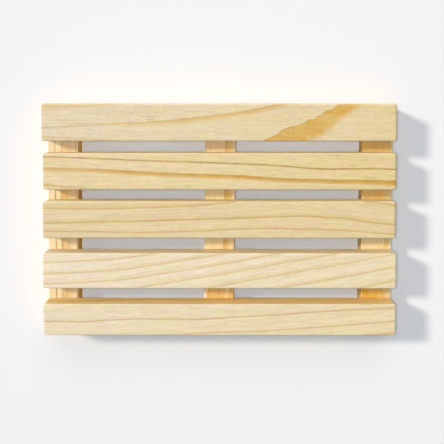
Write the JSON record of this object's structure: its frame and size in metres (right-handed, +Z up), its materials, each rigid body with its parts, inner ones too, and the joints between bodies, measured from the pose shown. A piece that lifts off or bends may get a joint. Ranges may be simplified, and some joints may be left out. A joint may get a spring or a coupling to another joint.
{
  "type": "wooden pallet drink coaster",
  "caption": "Drink coaster built like a small loading pallet: spaced softwood slats fixed across beams that lift a cup or glass clear of the table.",
  "frame": {"origin": "middle of the footprint, on the surface that the beams stand on", "axes": "+X along the slats, +Y across the slats towards slat_1, +Z up"},
  "size_m": [0.12, 0.079, 0.0144],
  "materials": {
    "pine_slats": "bare planed pine, pale, with ochre growth lines along the slat",
    "pine_beams": "bare sawn pine, a little yellower than the slats",
    "brad_steel": "bright drawn steel wire"
  },
  "bodies": {
    "root": {"slat_1": "pine_slats", "slat_2": "pine_slats", "slat_3": "pine_slats", "slat_4": "pine_slats", "slat_5": "pine_slats", "beam_left": "pine_beams", "beam_middle": "pine_beams", "beam_right": "pine_beams", "brad_left_1": "brad_steel", "brad_left_2": "brad_steel", "brad_left_3": "brad_steel", "brad_left_4": "brad_steel", "brad_left_5": "brad_steel", "brad_middle_1": "brad_steel", "brad_middle_2": "brad_steel", "brad_middle_3": "brad_steel", "brad_middle_4": "brad_steel", "brad_middle_5": "brad_steel", "brad_right_1": "brad_steel", "brad_right_2": "brad_steel", "brad_right_3": "brad_steel", "brad_right_4": "brad_steel", "brad_right_5": "brad_steel"}
  },
  "joints": []
}
